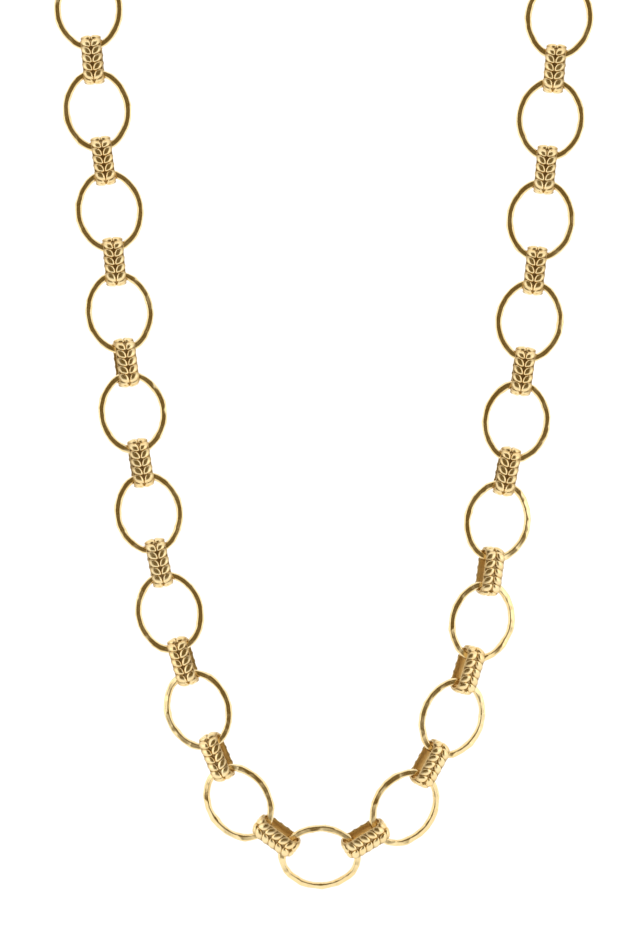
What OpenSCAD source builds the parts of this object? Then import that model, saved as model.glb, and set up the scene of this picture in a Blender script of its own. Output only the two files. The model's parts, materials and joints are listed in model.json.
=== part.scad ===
// Chain necklace: hammered oval links joined by leaf-patterned band loops.
// It lies flat in a U with its clasp open.
// +Z is up, and the U opens towards +Y. The origin is on the surface it lies on, in the middle of its box.

/* [Oval link] */
// Length of an oval link between the wire's centre lines
link_len = 18.5; // [16:0.1:22.5]
// Width of an oval link between the wire's centre lines
link_wid = 15.1; // [13:0.1:18.2]
// Diameter of the link wire
wire_d = 1.84; // [1.5:0.02:2.24]
// Radius of the tighter ends of the oval, to the wire's centre line
end_r = 6.3; // [5.2:0.1:6.4]

/* [Band loop] */
// Distance between the two link wires that a band loop joins
joined_gap = 6.35; // [5.2:0.05:7.8]
// Width of the band
band_wid = 5.1; // [4.2:0.1:6.2]
// Thickness of the band
band_wall = 1.15; // [0.9:0.05:1.4]
// Angle that a link can twist inside a band before it touches
twist_room = 10; // [8:1:12]
// How far each wire sits beyond the centre of the band's round end
wire_set = 0.15; // [0:0.05:0.2]
// Gap between a wire and the inside of a band
wire_play = 0.12; // [0.08:0.01:0.2]

/* [Chain] */
// Number of oval links on each arm, not counting the centre one
links_a_side = 11; // [6:1:11]
// How fast the U opens: small for a narrow U, large for a wide one
sag = 18; // [12:0.5:26]
// Tilt of the centre link about its length
centre_tilt = 16; // [0:1:18]

/* [Clasp end] */
// Inside diameter of the two jump rings
jump_bore = 4.2; // [3.9:0.1:5]
// Diameter of the jump ring wire
jump_wire_d = 1.1; // [0.8:0.05:1.3]
// Gap between a jump ring and what hangs in it
jump_play = 0.2; // [0.1:0.05:0.3]
// Diameter of the catch ring to its wire's centre line
catch_d = 9.2; // [8:0.1:11]
// Diameter of the catch ring wire
catch_wire_d = 1.5; // [1.2:0.05:1.8]
// Diameter of the clasp's eye to its centre line
eye_d = 3.2; // [3:0.1:4]
// Thickness of the clasp's eye
eye_wire_d = 1.4; // [1:0.05:1.6]
// Diameter of the hook to its centre line
hook_d = 7; // [6.4:0.1:8.4]
// Thickness of the hook
hook_wire_d = 2; // [1.6:0.05:2.4]
// Thickness of the gate lever's round arm
gate_wire_d = 1.6; // [1.2:0.05:1.8]
// Diameter of the round boss that holds the lever
boss_d = 3.4; // [3.2:0.1:4]
// Height of the boss
boss_h = 3.2; // [3:0.1:4]
// Diameter of the lever's pin
pin_d = 0.8; // [0.6:0.05:1]
// Gap between the pin and the lever, on the radius
pin_play = 0.04; // [0.02:0.01:0.1]
// Height of the slot that the lever turns in
slot_h = 1.7; // [1.5:0.05:1.8]
// Thickness of the lever's flat root
lever_h = 1.1; // [1:0.05:1.3]
// Gap between the lever's tip and the hook's nose
nose_play = 0.12; // [0.08:0.01:0.3]
// Thickness of the clasp's spring wire
spring_wire_d = 0.2; // [0.14:0.02:0.24]

/* [Hidden] */
arm_numbers = [1 : links_a_side];
clasp_nodes = ["clasp_body", "clasp_lever", "clasp_pin", "clasp_spring"];
$fn = 48;
gold = [0.88, 0.71, 0.38];
dark_gold = [0.72, 0.55, 0.26];
steel = [0.75, 0.75, 0.76];
RIGHT = 1;
LEFT = -1;

// How each piece lies, in whole degrees, from the centre link outwards.
// A turn is added to the curve's own direction, and a roll is about the piece's own length.
right_band_turns = [-4, -3, -1, 4, -2, 0, 0, 0, 0, 0, 0];
left_band_turns = [1, 3, 0, 0, 0, 0, 1, -2, 0, 0, 0];
first_link_turns = [4, 3];
right_band_rolls = [22, 25, 25, 20, 3, 0, -4, -4, -6, -3, 0];
left_band_rolls = [-21, -14, -7, 5, 8, 12, 5, 4, 0, 2, 0];
right_link_tilts = [17, 17, 16, 11, 1, 0, -2, -3, -3, -2, 0];
left_link_tilts = [-14, -9, -1, 5, 8, 7, 3, 2, 0, 0, 0];

// The oval: two end arcs and two side arcs that run smoothly into each other.
half_len = link_len / 2;
half_wid = link_wid / 2;
wire_r = wire_d / 2;
end_x = half_len - end_r;
side_r = (half_wid * half_wid + end_x * end_x - end_r * end_r) / (2 * (half_wid - end_r));
side_y = half_wid - side_r;
meet_angle = atan2(-side_y, end_x);
// A hardly raised collar joins two arcs into one wire.
collar_step = 0.03;
collar_len = 0.6;

// The band loop: the bow of the wire over the band's width and its twist set the room inside.
wire_bow = end_r - sqrt(end_r * end_r - band_wid * band_wid / 4);
band_in_r = wire_r + wire_bow + band_wid / 2 * tan(twist_room) + wire_play;
band_straight = joined_gap - 2 * wire_set;
band_out_r = band_in_r + band_wall;

// Directions along an arm, measured from the centre link's length.
pitch = link_len + joined_gap;
function curve_angle(steps) = atan(steps * pitch / sag);
function outward(side, angle) = side == RIGHT ? angle : 180 - angle;
function first_turn(side, k) = k == 1 ? first_link_turns[side == RIGHT ? 0 : 1] : 0;
function band_turn(side, k) = side == RIGHT ? right_band_turns[k - 1] : left_band_turns[k - 1];
function band_roll(side, k) = side == RIGHT ? right_band_rolls[k - 1] : left_band_rolls[k - 1];
function side_tilt(side, k) = side == RIGHT ? right_link_tilts[k - 1] : left_link_tilts[k - 1];
function band_dir(side, k) = outward(side, curve_angle(k - 0.5) + band_turn(side, k));
function link_dir(side, k) = outward(side, k == 0 ? 0 : curve_angle(k) + first_turn(side, k));
function link_tilt(side, k) = k == 0 ? side * centre_tilt : side_tilt(side, k);

// Where the pieces lie: each wire crosses the next band on the link's round end.
function along(a) = [cos(a), sin(a), 0];
function across(a, tilt) = [-sin(a) * cos(tilt), cos(a) * cos(tilt), sin(tilt)];
function on_end(a, tilt, lean) = end_r * (cos(lean) * along(a) + sin(lean) * across(a, tilt));
function link_end(side, k, lean) = end_x * along(link_dir(side, k))
    + on_end(link_dir(side, k), link_tilt(side, k), lean);
function out_lean(side, k) = band_dir(side, k) - link_dir(side, k - 1);
function in_lean(side, k) = band_dir(side, k) - link_dir(side, k);
function band_start(side, k) = link_at(side, k - 1) + link_end(side, k - 1, out_lean(side, k));
function band_mid(side, k) = band_start(side, k) + joined_gap / 2 * along(band_dir(side, k));
function band_end(side, k) = band_start(side, k) + joined_gap * along(band_dir(side, k));
function link_at(side, k) = k == 0 ? [0, 0, 0] : band_end(side, k) + link_end(side, k, in_lean(side, k));

// The clasp end of each arm, in line with its last link.
jump_in_r = jump_bore / 2;
jump_r = jump_in_r + jump_wire_d / 2;
eye_r = eye_d / 2;
catch_r = catch_d / 2;
function last_dir(side) = link_dir(side, links_a_side);
function last_wire(side) = link_at(side, links_a_side) + half_len * along(last_dir(side));
function jump_at(side) = last_wire(side) + (jump_in_r - wire_r - jump_play) * along(last_dir(side));
function held_wire(side, d) = jump_at(side) + (jump_in_r - d / 2 - jump_play) * along(last_dir(side));
catch_at = held_wire(LEFT, catch_wire_d) + catch_r * along(last_dir(LEFT));
eye_at = held_wire(RIGHT, eye_wire_d) + eye_r * along(last_dir(RIGHT));

// The clasp lies along +X from its eye, with the gate on the +Y side.
hook_r = hook_d / 2;
neck_len = 1.2;
boss_x = eye_r + neck_len + boss_d / 2;
boss_y = 0.6;
hook_x = boss_x + hook_r;
nose_angle = 66;
hook_start = 190;
gate_start = 124;
tip_angle = 82;
root_start = 96;
root_end = 170;
root_wid = 1.1;
thumb_angle = 110;
thumb_out = 0.5;
gate_reach = norm([hook_x + (hook_r + gate_wire_d / 2) * cos(tip_angle) - boss_x,
    (hook_r + gate_wire_d / 2) * sin(tip_angle) - boss_y]);
boss_wall = 0.45;
lever_gap = 0.15;
lever_r = boss_d / 2 - boss_wall;
neck_d = eye_wire_d + 0.3;
coil_z = (slot_h + lever_h) / 4;

// The lowest points decide how high the chain lies, and the widest ones its middle.
all_arms = [for (side = [LEFT, RIGHT], k = arm_numbers) [side, k]];
band_lows = [for (a = all_arms) band_mid(a[0], a[1])[2] - band_out_r * cos(band_roll(a[0], a[1]))
    - band_wid / 2 * abs(sin(band_roll(a[0], a[1])))];
link_lows = [for (a = all_arms)
    link_at(a[0], a[1])[2] - half_wid * abs(sin(link_tilt(a[0], a[1]))) - wire_r];
jump_lows = [for (side = [LEFT, RIGHT]) jump_at(side)[2] - jump_r - jump_wire_d / 2];
lowest = min(concat(band_lows, link_lows, jump_lows, [-half_wid * sin(centre_tilt) - wire_r]));
widest_x = max([for (k = arm_numbers) link_at(RIGHT, k)[0]]) + half_wid + wire_r;
narrowest_x = min([for (k = arm_numbers) link_at(LEFT, k)[0]]) - half_wid - wire_r;
top_y = max(catch_at[1] + catch_r + catch_wire_d / 2,
    eye_at[1] + (hook_x + hook_r + hook_wire_d / 2) * sin(last_dir(RIGHT)));
bottom_y = -half_wid * cos(centre_tilt) - wire_r;
rest = [-(widest_x + narrowest_x) / 2, -(top_y + bottom_y) / 2, -lowest];

// A round wire bent to an arc about Z.
module wire_arc(bend_r, thick_r, from, sweep) {
    rotate([0, 0, from])
        rotate_extrude(angle = sweep)
            translate([bend_r, 0])
                circle(r = thick_r);
}

module wire_ring(bend_r, thick_r) {
    rotate_extrude()
        translate([bend_r, 0])
            circle(r = thick_r);
}

// Moves a piece to its place, turns it to its direction and rolls it about its own length.
module laid(at, direction, roll) {
    translate(rest + at)
        rotate([0, 0, direction])
            rotate([roll, 0, 0])
                children();
}

module oval_wire() {
    for (turn = [0, 180])
        rotate([0, 0, turn]) {
            translate([end_x, 0, 0])
                wire_arc(end_r, wire_r, -meet_angle, 2 * meet_angle);
            translate([0, side_y, 0])
                wire_arc(side_r, wire_r, meet_angle, 180 - 2 * meet_angle);
            for (corner = [meet_angle, -meet_angle])
                translate([end_x + end_r * cos(corner), end_r * sin(corner), 0])
                    rotate([0, 0, corner])
                        rotate([90, 0, 0])
                            cylinder(r = wire_r + collar_step, h = collar_len, center = true);
        }
}

module oval_link(side, k) {
    color(gold)
        laid(link_at(side, k), link_dir(side, k), link_tilt(side, k))
            oval_wire();
}

// A stadium-shaped slab whose round ends are true cylinders about Y.
module stadium(radius, width) {
    for (end = [-1, 1])
        translate([end * band_straight / 2, 0, 0])
            rotate([90, 0, 0])
                cylinder(r = radius, h = width, center = true);
    cube([band_straight, width, 2 * radius], center = true);
}

module leaf_band(side, k) {
    color(dark_gold)
        laid(band_mid(side, k), band_dir(side, k), band_roll(side, k))
            difference() {
                stadium(band_out_r, band_wid);
                stadium(band_in_r, band_wid + 2);
            }
}

module jump_ring(side) {
    color(gold)
        laid(jump_at(side), last_dir(side), 90)
            wire_ring(jump_r, jump_wire_d / 2);
}

module catch_ring() {
    color(gold)
        laid(catch_at, last_dir(LEFT), 0)
            wire_ring(catch_r, catch_wire_d / 2);
}

module on_boss(z = 0) {
    translate([boss_x, boss_y, z])
        children();
}

// Room for the lever: round about the pin, and open on the gate's side.
module lever_room() {
    on_boss() {
        cylinder(r = lever_r + lever_gap, h = slot_h, center = true);
        rotate([0, 0, 12])
            translate([0, 0, -slot_h / 2])
                cube([boss_d, boss_d, slot_h]);
        rotate([0, 0, 62])
            translate([0, 0, -slot_h / 2])
                cube([boss_d, lever_r, slot_h]);
    }
}

// Cuts the nose back to the circle that the gate's tip sweeps.
module nose_room() {
    intersection() {
        on_boss()
            cylinder(r = gate_reach + nose_play, h = boss_h, center = true);
        translate([hook_x - 2 * hook_r, boss_y + 0.9, -boss_h / 2])
            cube([4 * hook_r, 2 * hook_r, boss_h]);
    }
}

module clasp_body() {
    color(gold)
        laid(eye_at, last_dir(RIGHT), 0)
            difference() {
                union() {
                    wire_ring(eye_r, eye_wire_d / 2);
                    translate([eye_r, 0, 0])
                        rotate([0, 90, 0])
                            cylinder(d = neck_d, h = neck_len + boss_d / 2);
                    on_boss()
                        cylinder(d = boss_d, h = boss_h, center = true);
                    difference() {
                        translate([hook_x, 0, 0])
                            wire_arc(hook_r, hook_wire_d / 2, hook_start, 360 + nose_angle - hook_start);
                        nose_room();
                    }
                    translate([hook_x + hook_r * cos(hook_start), hook_r * sin(hook_start), 0])
                        sphere(d = hook_wire_d);
                }
                lever_room();
                on_boss()
                    cylinder(d = pin_d, h = boss_h + 2, center = true);
            }
}

module clasp_lever() {
    color(gold)
        laid(eye_at, last_dir(RIGHT), 0)
            difference() {
                union() {
                    on_boss()
                        cylinder(r = lever_r, h = lever_h, center = true);
                    translate([hook_x, 0, 0]) {
                        wire_arc(hook_r, gate_wire_d / 2, tip_angle, gate_start - tip_angle);
                        rotate([0, 0, root_start])
                            rotate_extrude(angle = root_end - root_start)
                                translate([hook_r - root_wid / 2, -lever_h / 2])
                                    square([root_wid, lever_h]);
                        rotate([0, 0, thumb_angle])
                            translate([hook_r + thumb_out, 0, 0])
                                sphere(d = gate_wire_d);
                    }
                }
                on_boss()
                    cylinder(r = pin_d / 2 + pin_play, h = boss_h, center = true);
            }
}

module clasp_pin() {
    color(steel)
        laid(eye_at, last_dir(RIGHT), 0)
            on_boss()
                cylinder(d = pin_d, h = boss_h, center = true);
}

module clasp_spring() {
    color(steel)
        laid(eye_at, last_dir(RIGHT), 0)
            on_boss(coil_z)
                wire_ring(pin_d / 2 + spring_wire_d, spring_wire_d / 2);
}

oval_link(RIGHT, 0);  // oval_link_centre
for (k = arm_numbers) {
    leaf_band(RIGHT, k);
    oval_link(RIGHT, k);
    leaf_band(LEFT, k);
    oval_link(LEFT, k);
}
jump_ring(RIGHT);  // jump_ring_right
jump_ring(LEFT);  // jump_ring_left
catch_ring();
clasp_body();
clasp_lever();
clasp_pin();
clasp_spring();
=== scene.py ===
import json
import math
import random

import bpy
import numpy as np
from mathutils import Matrix, Vector

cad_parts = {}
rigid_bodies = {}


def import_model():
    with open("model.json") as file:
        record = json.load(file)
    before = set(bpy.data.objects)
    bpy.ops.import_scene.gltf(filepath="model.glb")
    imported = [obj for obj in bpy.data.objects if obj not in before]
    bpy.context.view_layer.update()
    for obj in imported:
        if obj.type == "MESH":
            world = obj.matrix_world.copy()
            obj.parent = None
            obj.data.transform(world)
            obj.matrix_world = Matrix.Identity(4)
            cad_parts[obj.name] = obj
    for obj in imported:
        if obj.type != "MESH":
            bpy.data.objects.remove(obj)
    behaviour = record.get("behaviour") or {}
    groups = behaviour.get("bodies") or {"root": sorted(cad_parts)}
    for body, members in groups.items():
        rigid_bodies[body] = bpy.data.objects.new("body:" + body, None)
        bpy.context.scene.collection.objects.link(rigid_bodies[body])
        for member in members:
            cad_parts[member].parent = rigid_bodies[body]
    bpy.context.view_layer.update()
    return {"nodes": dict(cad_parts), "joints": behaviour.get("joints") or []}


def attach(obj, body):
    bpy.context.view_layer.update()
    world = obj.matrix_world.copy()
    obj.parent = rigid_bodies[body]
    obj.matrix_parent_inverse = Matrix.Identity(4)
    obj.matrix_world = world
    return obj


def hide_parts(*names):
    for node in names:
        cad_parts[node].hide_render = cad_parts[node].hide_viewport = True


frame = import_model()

# The oval links. Round brass wire is bent round an oval former, its ends are brazed, and the whole ring
# is hammered by hand, which leaves shallow round-bottomed dents with soft ridges between them.
LINK_LONG = 0.0185
LINK_WIDE = 0.0151
WIRE = 0.00184
END_BEND = 0.0063
end_x = LINK_LONG / 2 - END_BEND
side_bend = ((LINK_WIDE / 2) ** 2 + end_x**2 - END_BEND**2) / (LINK_WIDE - 2 * END_BEND)
side_y = side_bend - LINK_WIDE / 2
meet = math.atan2(side_y, end_x)
DENT = 0.0025
DENT_DEPTH = 0.0003
FACE_HIGH = 0.82
FACE_LEAN = 0.12
WIRE_SIDES = 24
END_STEPS = 40
SIDE_STEPS = 68
ALIKE = 0.00001

bpy.ops.object.select_all(action="DESELECT")
bpy.ops.mesh.primitive_circle_add(
    vertices=WIRE_SIDES,
    radius=WIRE / 2,
    location=(end_x + END_BEND * math.cos(meet), -END_BEND * math.sin(meet), 0),
    rotation=(math.pi / 2, 0, -meet),
)
oval = bpy.context.object
bpy.ops.object.transform_apply(location=True, rotation=True)
bpy.ops.object.mode_set(mode="EDIT")
bpy.ops.mesh.select_all(action="SELECT")
for angle, middle, steps in (
    (2 * meet, (end_x, 0, 0), END_STEPS),
    (math.pi - 2 * meet, (0, -side_y, 0), SIDE_STEPS),
    (2 * meet, (-end_x, 0, 0), END_STEPS),
    (math.pi - 2 * meet, (0, side_y, 0), SIDE_STEPS),
):
    bpy.ops.mesh.spin(steps=steps, angle=-angle, center=middle, axis=(0, 0, 1))
bpy.ops.mesh.select_all(action="SELECT")
bpy.ops.mesh.remove_doubles(threshold=ALIKE)
bpy.ops.mesh.normals_make_consistent(inside=False)
bpy.ops.object.mode_set(mode="OBJECT")

# The anvil and the hammer leave the wire's two faces nearly flat, leaning a little outwards.
for v in oval.data.vertices:
    across = Vector((max(-end_x, min(end_x, v.co.x)), 0, 0))
    bend = END_BEND
    if abs(math.atan2(abs(v.co.y), abs(v.co.x) - end_x)) > meet:
        across = Vector((0, -math.copysign(side_y, v.co.y), 0))
        bend = side_bend
    outwards = (Vector((v.co.x, v.co.y, 0)) - across).length - bend
    face = FACE_HIGH * WIRE / 2 - FACE_LEAN * outwards
    v.co.z = math.copysign(min(abs(v.co.z), face), v.co.z)

# Each finished piece is modelled at the origin along X, with its front face up, and is then carried to
# its own node's place in the frame, which is the node's middle with its long and its thin directions.
ROUND_ENOUGH = 0.97
joint_at = {j["name"]: Vector(j["pos_m"]) for j in frame["joints"]}


def place_of(node, outwards, thinnest="Z"):
    """The matrix from the origin to a node's place: X along it outwards, Z its front.

    A shape as wide as it is long has no long direction, so its X is taken from outwards alone.
    """
    mesh = frame["nodes"][node].data
    mesh.calc_loop_triangles()
    points = np.array([v.co for v in mesh.vertices])
    corners = points[np.array([t.vertices for t in mesh.loop_triangles])]
    areas = np.array([t.area for t in mesh.loop_triangles])
    middles = corners.mean(axis=1)
    middle = (middles * areas[:, None]).sum(axis=0) / areas.sum()
    middles = middles - middle
    corners = corners - middle
    spread = 9 * np.einsum("n,ni,nj->ij", areas, middles, middles)
    spread += np.einsum("n,nki,nkj->ij", areas, corners, corners)
    amounts, directions = np.linalg.eigh(spread)
    long_way = Vector(directions[:, 2])
    front = Vector(directions[:, 0 if thinnest == "Z" else 1])
    if amounts[1] > ROUND_ENOUGH * amounts[2]:
        long_way = (outwards - outwards.project(front)).normalized()
    if long_way.dot(outwards) < 0:
        long_way = -long_way
    if front.z < 0:
        front = -front
    turn = Matrix((long_way, front.cross(long_way), front)).transposed()
    return Matrix.Translation(middle) @ turn.to_4x4()


def pick(*pieces):
    """Leaves just these pieces selected, the last of them active."""
    for thing in bpy.context.view_layer.objects:
        thing.select_set(thing in pieces)
    bpy.context.view_layer.objects.active = pieces[-1]


def put(piece, place, how_made, node, material):
    """Copies a finished piece to its node's place, to stand for that node and ride on its body."""
    copy = bpy.data.objects.new(f"{how_made}_{node}", piece.data.copy())
    bpy.context.scene.collection.objects.link(copy)
    copy.data.transform(place)
    copy.data.materials.clear()
    copy.data.materials.append(material)
    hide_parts(node)
    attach(copy, node)


def apply_all(piece):
    pick(piece)
    for modifier in list(piece.modifiers):
        bpy.ops.object.modifier_apply(modifier=modifier.name)


# The finish is warm yellow gold plate, never quite even, with brown speckles of stain, and a brown laid
# into low places and kept off the high places, part patina and part painted shade. Clouds are a few
# millimetres wide, speckles and scratches far less.
CLOUDS = 180.0
SPECKLES = 1400.0
SCRATCHES = 5200.0
SPECKLE_STAIN = 0.12
SHARE_OF_SCRATCHES = 0.5


def node_group(name, inputs, outputs):
    group = bpy.data.node_groups.new(name, "ShaderNodeTree")
    for label, kind, value in inputs:
        socket = group.interface.new_socket(label, in_out="INPUT", socket_type=kind)
        socket.default_value = value
    for label, kind in outputs:
        group.interface.new_socket(label, in_out="OUTPUT", socket_type=kind)
    return group, group.nodes.new("NodeGroupInput"), group.nodes.new("NodeGroupOutput")


def noise(tree, coordinates, scale, detail=3.0):
    texture = tree.nodes.new("ShaderNodeTexNoise")
    texture.inputs["Scale"].default_value = scale
    texture.inputs["Detail"].default_value = detail
    tree.links.new(coordinates, texture.inputs["Vector"])
    return texture.outputs["Fac"]


def remap(tree, value, low, high, to_low=0.0, to_high=1.0):
    node = tree.nodes.new("ShaderNodeMapRange")
    node.inputs["From Min"].default_value = low
    node.inputs["From Max"].default_value = high
    node.inputs["To Min"].default_value = to_low
    node.inputs["To Max"].default_value = to_high
    tree.links.new(value, node.inputs["Value"])
    return node.outputs["Result"]


def combine(tree, operation, first, second):
    node = tree.nodes.new("ShaderNodeMath")
    node.operation = operation
    node.use_clamp = True
    for socket, value in zip(node.inputs, (first, second)):
        if isinstance(value, float):
            socket.default_value = value
        else:
            tree.links.new(value, socket)
    return node.outputs["Value"]


def mix_colours(tree, share, first, second):
    node = tree.nodes.new("ShaderNodeMix")
    node.data_type = "RGBA"
    tree.links.new(share, node.inputs["Factor"])
    for socket, value in zip((node.inputs[6], node.inputs[7]), (first, second)):
        if isinstance(value, tuple):
            socket.default_value = value
        else:
            tree.links.new(value, socket)
    return node.outputs[2]


plating, plating_in, plating_out = node_group(
    "uneven_plating",
    [
        ("Coordinates", "NodeSocketVector", (0, 0, 0)),
        ("Gold", "NodeSocketColor", (0.98, 0.75, 0.38, 1)),
        ("Patina", "NodeSocketColor", (0.32, 0.19, 0.06, 1)),
        ("Recess", "NodeSocketFloat", 0.0),
        ("Patina And Shade Amount", "NodeSocketFloat", 0.5),
    ],
    [("Colour", "NodeSocketColor"), ("Roughness", "NodeSocketFloat"), ("Height", "NodeSocketFloat")],
)
where = plating_in.outputs["Coordinates"]
cloud = remap(plating, noise(plating, where, CLOUDS), 0.35, 0.7)
speckle = remap(plating, noise(plating, where, SPECKLES, 4.0), 0.3, 0.75)
scratches = noise(plating, where, SCRATCHES, 2.0)
# The recess input darkens low places with the brown: partly patina, partly painted shade.
recess_patina_and_shade = combine(plating, "MULTIPLY", plating_in.outputs["Recess"], plating_in.outputs["Patina And Shade Amount"])
stains_and_shade = combine(plating, "MULTIPLY", speckle, SPECKLE_STAIN)
stains_and_shade = combine(plating, "ADD", stains_and_shade, recess_patina_and_shade)
warm = mix_colours(plating, cloud, plating_in.outputs["Gold"], (1.0, 0.82, 0.47, 1))
# The colour goes towards the brown with the stain speckles and with the painted shade of low places.
plating.links.new(
    mix_colours(plating, stains_and_shade, warm, plating_in.outputs["Patina"]), plating_out.inputs["Colour"]
)
polish = remap(plating, cloud, 0.0, 1.0, 0.17, 0.25)
dullness = remap(plating, stains_and_shade, 0.0, 1.0, 0.0, 0.25)
plating.links.new(combine(plating, "ADD", polish, dullness), plating_out.inputs["Roughness"])
pits = remap(plating, speckle, 0.0, 1.0, 0.0, 1 - SHARE_OF_SCRATCHES)
scored = combine(plating, "MULTIPLY", scratches, SHARE_OF_SCRATCHES)
plating.links.new(combine(plating, "ADD", pits, scored), plating_out.inputs["Height"])


def gold_material(name, patina_and_shade_amount, patina_and_shade_attribute=None, bump=0.00001):
    material = bpy.data.materials.new(name)
    material.use_nodes = True
    tree = material.node_tree
    shader = tree.nodes["Principled BSDF"]
    shader.inputs["Metallic"].default_value = 1.0
    coordinates = tree.nodes.new("ShaderNodeTexCoord").outputs["Object"]
    coat = tree.nodes.new("ShaderNodeGroup")
    coat.node_tree = plating
    tree.links.new(coordinates, coat.inputs["Coordinates"])
    # The amount and the attribute set how much and where low places are darkened, part patina and part
    # painted shade.
    coat.inputs["Patina And Shade Amount"].default_value = patina_and_shade_amount
    if patina_and_shade_attribute:
        low_places = tree.nodes.new("ShaderNodeAttribute")
        low_places.attribute_name = patina_and_shade_attribute
        tree.links.new(low_places.outputs["Fac"], coat.inputs["Recess"])
    tree.links.new(coat.outputs["Colour"], shader.inputs["Base Color"])
    tree.links.new(coat.outputs["Roughness"], shader.inputs["Roughness"])
    dents = tree.nodes.new("ShaderNodeBump")
    dents.inputs["Strength"].default_value = 0.5
    dents.inputs["Distance"].default_value = bump
    tree.links.new(coat.outputs["Height"], dents.inputs["Height"])
    tree.links.new(dents.outputs["Normal"], shader.inputs["Normal"])
    return material


# The hammer's dents are all of one size, and each ring has its own, because its anvil lies elsewhere.
blows = bpy.data.textures.new("hammer_blows", "VORONOI")
blows.distance_metric = "DISTANCE_SQUARED"
blows.noise_scale = DENT
anvil = bpy.data.objects.new("anvil", None)
bpy.context.scene.collection.objects.link(anvil)

hammered_gold = gold_material("hammered_gold", 0.0, bump=0.000012)
chance = random.Random(11)
SIDES = ("right", "left")
LINKS_A_SIDE = sum(name.startswith("oval_link_right") for name in frame["nodes"])
down_the_arms = {"oval_link_centre": joint_at["band_swing_right_1"] - joint_at["band_swing_left_1"]}
for side in SIDES:
    for k in range(1, LINKS_A_SIDE + 1):
        inner = joint_at[f"link_turn_{side}_{k}"]
        outer = joint_at[f"band_swing_{side}_{k + 1}" if k < LINKS_A_SIDE else f"jump_swing_{side}"]
        down_the_arms[f"oval_link_{side}_{k}"] = outer - inner

for link, outwards in down_the_arms.items():
    struck = bpy.data.objects.new("struck", oval.data.copy())
    bpy.context.scene.collection.objects.link(struck)
    anvil.location = [chance.uniform(-0.1, 0.1) for _ in range(3)]
    bpy.context.view_layer.update()
    dents = struck.modifiers.new("hammering", "DISPLACE")
    dents.texture = blows
    dents.texture_coords = "OBJECT"
    dents.texture_coords_object = anvil
    dents.direction = "NORMAL"
    dents.mid_level = 0.5
    dents.strength = DENT_DEPTH
    apply_all(struck)
    bpy.ops.object.shade_smooth()
    put(struck, place_of(link, outwards), "hammered", link, hammered_gold)
    bpy.data.objects.remove(struck)
bpy.data.objects.remove(anvil)
bpy.data.objects.remove(oval)

# The leaf bands. Each is cast as a flat strip with two rows of plump laurel leaves that meet in a V,
# bent into a long loop round two links, smooth on the inside, and soldered shut at the back.
BAND_LONG = 0.01241
BAND_WIDE = 0.0051
BAND_THICK = 0.00115
STRAIGHT = 0.00605
ROUND = (BAND_LONG - STRAIGHT) / 2
LEAF_PAIRS = 14
floor_bend = ROUND - BAND_THICK
strip_bend = floor_bend + 0.0004
strip_length = 2 * STRAIGHT + 2 * math.pi * strip_bend
pair_step = strip_length / LEAF_PAIRS
LEAF_LONG = 0.0032
LEAF_WIDE = 0.00206
LEAF_HIGH = 0.0021
LEAF_FULLNESS = 0.5
LEAF_TAPER = 0.4
LEAF_SLANT = math.radians(47)
LEAF_TILT = math.radians(-13)
STRIP_WIDE = 0.00485
STRIP_THICK = 0.0004
STRIP_ROUNDING = 0.00018
CREASE = math.radians(40)


def select_where(piece, kind, chosen):
    """Leaves edit mode open on the piece, with the chosen vertices, edges or faces selected."""
    pick(piece)
    bpy.ops.object.mode_set(mode="EDIT")
    bpy.ops.mesh.select_mode(type=kind)
    bpy.ops.mesh.select_all(action="DESELECT")
    bpy.ops.object.mode_set(mode="OBJECT")
    mesh = piece.data
    elements = {"VERT": mesh.vertices, "EDGE": mesh.edges, "FACE": mesh.polygons}[kind]
    for element in elements:
        element.select = bool(chosen(element))
    bpy.ops.object.mode_set(mode="EDIT")


def runs_along_x(piece, edge):
    a, b = (piece.data.vertices[i].co for i in edge.vertices)
    return abs(a.x - b.x) > 0.9 * (a - b).length


# One leaf is a low flat-topped dome, slanted from the strip's edge to its middle line. It narrows to
# its tip, which rides up over the foot of the next leaf.
bpy.ops.object.select_all(action="DESELECT")
bpy.ops.mesh.primitive_uv_sphere_add(segments=16, ring_count=10, radius=1, rotation=(0, math.pi / 2, 0))
leaf = bpy.context.object
bpy.ops.object.transform_apply(location=False, rotation=True)
for v in leaf.data.vertices:
    v.co.z = math.copysign(abs(v.co.z) ** LEAF_FULLNESS, v.co.z) if abs(v.co.z) > 1e-4 else 0.0
    v.co.y *= 1 - LEAF_TAPER * max(0.0, v.co.x) ** 2
leaf.data.transform(Matrix.Diagonal((LEAF_LONG / 2, LEAF_WIDE / 2, LEAF_HIGH / 2, 1)))
leaf.data.transform(Matrix.Rotation(LEAF_TILT, 4, "Y"))
leaf.data.transform(Matrix.Rotation(LEAF_SLANT, 4, "Z"))
lowest = min(v.co.y for v in leaf.data.vertices)
leaf.data.transform(Matrix.Translation((0, -lowest - BAND_WIDE / 2, 0)))
highest = max(v.co.z for v in leaf.data.vertices)
leaf.data.transform(Matrix.Translation((0, 0, ROUND - strip_bend - highest)))
select_where(leaf, "VERT", lambda vertex: True)
bpy.ops.mesh.bisect(
    plane_co=(0, 0, floor_bend - strip_bend + STRIP_THICK / 2),
    plane_no=(0, 0, 1),
    use_fill=True,
    clear_inner=True,
)
bpy.ops.mesh.select_all(action="SELECT")
bpy.ops.mesh.duplicate()
bpy.ops.transform.mirror(constraint_axis=(False, True, False), center_override=(0, 0, 0))
bpy.ops.mesh.select_all(action="SELECT")
bpy.ops.mesh.normals_make_consistent(inside=False)
bpy.ops.object.mode_set(mode="OBJECT")

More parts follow.
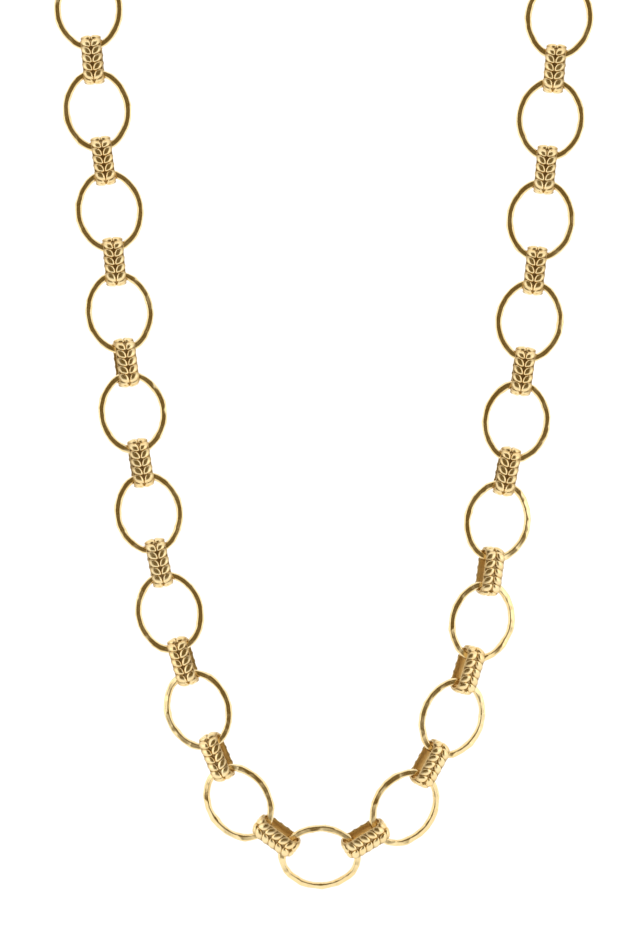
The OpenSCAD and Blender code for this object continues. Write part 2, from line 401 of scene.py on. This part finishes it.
# The strip under one pair of leaves, open at its two ends, with its long edges rounded.
bpy.ops.object.select_all(action="DESELECT")
bpy.ops.mesh.primitive_cube_add(size=1)
strip = bpy.context.object
strip.data.transform(Matrix.Diagonal((pair_step, STRIP_WIDE, STRIP_THICK, 1)))
strip.data.transform(Matrix.Translation((0, 0, floor_bend - strip_bend + STRIP_THICK / 2)))
select_where(strip, "FACE", lambda face: abs(face.normal.x) > 0.9)
bpy.ops.mesh.delete(type="ONLY_FACE")
select_where(strip, "EDGE", lambda edge: runs_along_x(strip, edge))
bpy.ops.mesh.bevel(offset=STRIP_ROUNDING, segments=2)
select_where(strip, "EDGE", lambda edge: runs_along_x(strip, edge))
bpy.ops.mesh.subdivide_edgering(number_cuts=3, interpolation="LINEAR", smoothness=0)
bpy.ops.object.mode_set(mode="OBJECT")

# Low places are painted darker the deeper they are, part patina and part painted shade between the
# leaves. The smooth inside of the loop is painted half as dark.
PATINA_AND_SHADE_STARTS = 0.5
PATINA_AND_SHADE_GROWS = 2.6
INSIDE = 0.7
INSIDE_PATINA_AND_SHADE = 0.5
for part in (leaf, strip):
    recess_patina_and_shade = part.data.attributes.new("recess_patina_and_shade", "FLOAT", "POINT")
    for v in part.data.vertices:
        depth = (ROUND - strip_bend - v.co.z) / BAND_THICK
        rubbed_in_and_shaded = min(1.0, max(0.0, PATINA_AND_SHADE_GROWS * depth - PATINA_AND_SHADE_STARTS))
        recess_patina_and_shade.data[v.index].value = rubbed_in_and_shaded if depth < INSIDE else INSIDE_PATINA_AND_SHADE
pick(leaf, strip)
bpy.ops.object.join()
band = bpy.context.object
row = band.modifiers.new("row", "ARRAY")
row.count = LEAF_PAIRS
row.use_relative_offset = False
row.use_constant_offset = True
row.constant_offset_displace = (pair_step, 0, 0)
row.use_merge_vertices = True
row.merge_threshold = ALIKE
apply_all(band)


def round_the_loop(point):
    """Where a point of the straight strip comes when the strip is bent into its loop."""
    run = (point.x + pair_step / 2) % strip_length
    bend_length = math.pi * strip_bend
    half_turn, run = divmod(run, STRAIGHT + bend_length)
    height = strip_bend + point.z
    turned = max(0.0, run - STRAIGHT) / strip_bend
    x = min(run, STRAIGHT) - STRAIGHT / 2 + height * math.sin(turned)
    z = height * math.cos(turned)
    if half_turn:
        x, z = -x, -z
    return Vector((x, point.y, z))


for v in band.data.vertices:
    v.co = round_the_loop(v.co)
pick(band)
bpy.ops.object.mode_set(mode="EDIT")
bpy.ops.mesh.select_all(action="SELECT")
bpy.ops.mesh.remove_doubles(threshold=ALIKE)
bpy.ops.object.mode_set(mode="OBJECT")
bpy.ops.object.shade_smooth_by_angle(angle=CREASE)

# Some bands were threaded with their leaves' tips pointing back up the chain.
TIPS_OUTWARDS = {("right", 1), ("right", 2), ("right", 3), ("right", 4), ("left", 1)}

# The leaf bands' low places and the loop's inside are painted darker: patina and painted shade.
leaf_gold = gold_material("leaf_gold", 0.75, "recess_patina_and_shade")
for side in SIDES:
    for k in range(1, LINKS_A_SIDE + 1):
        node = f"leaf_band_{side}_{k}"
        outwards = joint_at[f"link_turn_{side}_{k}"] - joint_at[f"band_swing_{side}_{k}"]
        tips_to = outwards if (side, k) in TIPS_OUTWARDS else -outwards
        place = place_of(node, tips_to, thinnest="Y")
        put(band, place, "leafed", node, leaf_gold)
bpy.data.objects.remove(band)

# The jump rings. Each is a turn of round gold wire, cut straight through and closed up again round the
# last link and what hangs from it, so a fine seam shows.
JUMP_BEND = 0.00265
JUMP_WIRE = 0.0011
JUMP_SIDES = 20
JUMP_STEPS = 96
SEAM = 0.00006
seam_angle = SEAM / JUMP_BEND
bpy.ops.object.select_all(action="DESELECT")
bpy.ops.mesh.primitive_circle_add(
    vertices=JUMP_SIDES,
    radius=JUMP_WIRE / 2,
    fill_type="NGON",
    location=(JUMP_BEND * math.cos(seam_angle / 2), JUMP_BEND * math.sin(seam_angle / 2), 0),
    rotation=(math.pi / 2, 0, seam_angle / 2),
)
jump = bpy.context.object
bpy.ops.object.transform_apply(location=True, rotation=True)
bpy.ops.object.mode_set(mode="EDIT")
bpy.ops.mesh.select_all(action="SELECT")
bpy.ops.mesh.spin(
    steps=JUMP_STEPS, angle=-(2 * math.pi - seam_angle), center=(0, 0, 0), axis=(0, 0, 1)
)
bpy.ops.mesh.select_all(action="SELECT")
bpy.ops.mesh.remove_doubles(threshold=ALIKE)
bpy.ops.mesh.normals_make_consistent(inside=False)
bpy.ops.object.mode_set(mode="OBJECT")
bpy.ops.object.shade_smooth_by_angle(angle=CREASE)

polished_gold = gold_material("polished_gold", 0.2, bump=0.000004)
for side, held in (("right", "clasp_turn"), ("left", "catch_swing")):
    node = f"jump_ring_{side}"
    place = place_of(node, joint_at[held] - joint_at[f"jump_swing_{side}"])
    put(jump, place, "cut", node, polished_gold)
bpy.data.objects.remove(jump)

# The catch ring. It is bent and brazed shut like a small link, hammered lightly, and takes the hook.
CATCH_BEND = 0.0046
CATCH_WIRE = 0.0015
CATCH_STEPS = 120
CATCH_SIDES = 20
bpy.ops.object.select_all(action="DESELECT")
bpy.ops.mesh.primitive_torus_add(
    major_segments=CATCH_STEPS,
    minor_segments=CATCH_SIDES,
    major_radius=CATCH_BEND,
    minor_radius=CATCH_WIRE / 2,
)
catch = bpy.context.object
hammering = catch.modifiers.new("hammering", "DISPLACE")
hammering.texture = blows
hammering.direction = "NORMAL"
hammering.mid_level = 0.5
hammering.strength = DENT_DEPTH / 2
apply_all(catch)
bpy.ops.object.shade_smooth()
place = place_of("catch_ring", joint_at["catch_swing"] - joint_at["jump_swing_left"])
put(catch, place, "hammered", "catch_ring", hammered_gold)
bpy.data.objects.remove(catch)

# The clasp. Its hook, boss and eye are one casting with soft corners, and so is the gate lever, which
# shuts inside the hook's nose. The nose is cut back so that the lever's tip can swing past it.
CASTING_GRAIN = 0.00007
CAD_ALIKE = 0.000002
HOOK_BEND = 0.0035
HOOK_WIRE = 0.002
NOSE_START = math.radians(56)
NOSE_END = math.radians(76)
PIN_FROM_HOOK = (-0.0035, 0.0006, 0)
TIP_SWEEP = 0.00564
arm_end = (joint_at["clasp_turn"] - joint_at["jump_swing_right"]).normalized()
gate_side = Vector((0, 0, 1)).cross(arm_end)
hook_place = Matrix((arm_end, gate_side, (0, 0, 1))).transposed().to_4x4()
hook_place.translation = joint_at["gate_hinge"] - hook_place @ Vector(PIN_FROM_HOOK)


def cast_from(node, body, *added):
    """A casting of a node's shape and what is added to it, with its corners softened."""
    casting = bpy.data.objects.new(f"cast_{node}", frame["nodes"][node].data.copy())
    bpy.context.scene.collection.objects.link(casting)
    select_where(casting, "VERT", lambda vertex: True)
    bpy.ops.mesh.remove_doubles(threshold=CAD_ALIKE)
    bpy.ops.object.mode_set(mode="OBJECT")
    if added:
        pick(*added, casting)
        bpy.ops.object.join()
    skin = casting.modifiers.new("skin", "REMESH")
    skin.mode = "VOXEL"
    skin.voxel_size = CASTING_GRAIN
    soften = casting.modifiers.new("soften", "SMOOTH")
    soften.factor = 0.5
    soften.iterations = 5
    apply_all(casting)
    bpy.ops.object.shade_smooth()
    casting.data.materials.clear()
    casting.data.materials.append(polished_gold)
    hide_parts(node)
    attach(casting, body)


bpy.ops.object.select_all(action="DESELECT")
bpy.ops.mesh.primitive_circle_add(
    vertices=32,
    radius=HOOK_WIRE / 2,
    fill_type="NGON",
    location=(HOOK_BEND, 0, 0),
    rotation=(math.pi / 2, 0, 0),
)
nose = bpy.context.object
bpy.ops.object.transform_apply(location=True, rotation=True)
bpy.ops.object.mode_set(mode="EDIT")
bpy.ops.mesh.select_all(action="SELECT")
bpy.ops.mesh.spin(steps=12, angle=-(NOSE_END - NOSE_START), center=(0, 0, 0), axis=(0, 0, 1))
bpy.ops.mesh.select_all(action="SELECT")
bpy.ops.mesh.normals_make_consistent(inside=False)
bpy.ops.object.mode_set(mode="OBJECT")
nose.data.transform(Matrix.Rotation(NOSE_START, 4, "Z"))
bpy.ops.object.select_all(action="DESELECT")
bpy.ops.mesh.primitive_cylinder_add(vertices=128, radius=TIP_SWEEP, depth=0.005, location=PIN_FROM_HOOK)
sweep = bpy.context.object
bpy.ops.object.transform_apply(location=True)
cut_back = nose.modifiers.new("cut_back", "BOOLEAN")
cut_back.operation = "DIFFERENCE"
cut_back.object = sweep
apply_all(nose)
bpy.data.objects.remove(sweep)
nose.data.transform(hook_place)
cast_from("clasp_body", "clasp", nose)
cast_from("clasp_lever", "clasp_lever")

# The pin and the coil round it. They are drawn steel, and the coil pushes the lever out to the nose.
DRAW_MARKS = 3000.0
spring_steel = bpy.data.materials.new("spring_steel")
spring_steel.use_nodes = True
tree = spring_steel.node_tree
steel = tree.nodes["Principled BSDF"]
steel.inputs["Metallic"].default_value = 1.0
draw_marks = noise(tree, tree.nodes.new("ShaderNodeTexCoord").outputs["Object"], DRAW_MARKS)
streaks = mix_colours(tree, draw_marks, (0.62, 0.6, 0.57, 1), (0.8, 0.79, 0.76, 1))
tree.links.new(streaks, steel.inputs["Base Color"])
tree.links.new(remap(tree, draw_marks, 0.3, 0.7, 0.22, 0.36), steel.inputs["Roughness"])
for node in ("clasp_pin", "clasp_spring"):
    frame["nodes"][node].data.materials.clear()
    frame["nodes"][node].data.materials.append(spring_steel)

# The camera looks straight down on the necklace laid flat, from far enough off that nothing leans.
VIEW_TALL = 0.2328
VIEW_X = -0.00179
VIEW_Y = -0.0426
CHAIN_MIDDLE = 0.004
LENS = 120
SENSOR = 36
camera = bpy.data.objects.new("camera", bpy.data.cameras.new("camera"))
bpy.context.scene.collection.objects.link(camera)
camera.data.lens = LENS
camera.data.sensor_width = SENSOR
camera.location = (VIEW_X, VIEW_Y, CHAIN_MIDDLE + VIEW_TALL * LENS / SENSOR)
bpy.context.scene.camera = camera

# The studio. White all round, with two wide soft lamps from the sides, and a warm dark card over the
# necklace that only shows as the brown streaks in its polish. It fades out towards the front.
CARD_WIDE = 1.3
CARD_BACK = 1.23
CARD_FRONT = -0.95
CARD_FADE = 0.6
CARD_HIGH = 0.85
LAMP_OUT = 1.2
LAMP_HIGH = 0.7
LAMP_LEAN = math.radians(60)
LAMP_SIZE = 0.8
LAMP_WATTS = 0.8
WHITE_STRENGTH = 1.1
world = bpy.data.worlds.new("studio")
bpy.context.scene.world = world
world.use_nodes = True
world.node_tree.nodes["Background"].inputs["Color"].default_value = (1, 1, 1, 1)
world.node_tree.nodes["Background"].inputs["Strength"].default_value = WHITE_STRENGTH
bpy.context.scene.view_settings.view_transform = "Standard"
for name, way in (("lamp_right", 1), ("lamp_left", -1)):
    lamp = bpy.data.objects.new(name, bpy.data.lights.new(name, "AREA"))
    bpy.context.scene.collection.objects.link(lamp)
    lamp.data.size = LAMP_SIZE
    lamp.data.energy = LAMP_WATTS
    lamp.location = (way * LAMP_OUT, -0.05, LAMP_HIGH)
    lamp.rotation_euler = (0, way * LAMP_LEAN, 0)

bpy.ops.object.select_all(action="DESELECT")
bpy.ops.mesh.primitive_plane_add(size=1, location=(0, 0, 0))
card = bpy.context.object
card.name = "dark_card"
card.data.transform(Matrix.Diagonal((CARD_WIDE, CARD_BACK - CARD_FRONT, 1, 1)))
card.data.transform(Matrix.Translation((-0.002, (CARD_BACK + CARD_FRONT) / 2, CARD_HIGH)))
warm_dark = bpy.data.materials.new("warm_dark")
warm_dark.use_nodes = True
tree = warm_dark.node_tree
tree.nodes.clear()
along = tree.nodes.new("ShaderNodeSeparateXYZ")
tree.links.new(tree.nodes.new("ShaderNodeTexCoord").outputs["Object"], along.inputs["Vector"])
fade = remap(tree, along.outputs["Y"], CARD_FRONT, CARD_FRONT + CARD_FADE, 0.0, 1.0)
glow = tree.nodes.new("ShaderNodeEmission")
tree.links.new(mix_colours(tree, fade, (1, 1, 1, 1), (0.162, 0.114, 0.043, 1)), glow.inputs["Color"])
output = tree.nodes.new("ShaderNodeOutputMaterial")
tree.links.new(glow.outputs["Emission"], output.inputs["Surface"])
card.data.materials.append(warm_dark)
card.visible_camera = False
card.visible_shadow = False
card.visible_diffuse = False

# The table, a plain pale sheet well below the necklace, so no shadow reaches it.
TABLE_SIZE = 6
TABLE_DROP = 0.32
bpy.ops.mesh.primitive_plane_add(size=TABLE_SIZE, location=(0, 0, -TABLE_DROP))
floor = bpy.context.object
floor.name = "floor"
pale = bpy.data.materials.new("pale_floor")
pale.use_nodes = True
pale.node_tree.nodes["Principled BSDF"].inputs["Base Color"].default_value = (1, 1, 1, 1)
pale.node_tree.nodes["Principled BSDF"].inputs["Roughness"].default_value = 0.9
floor.data.materials.append(pale)
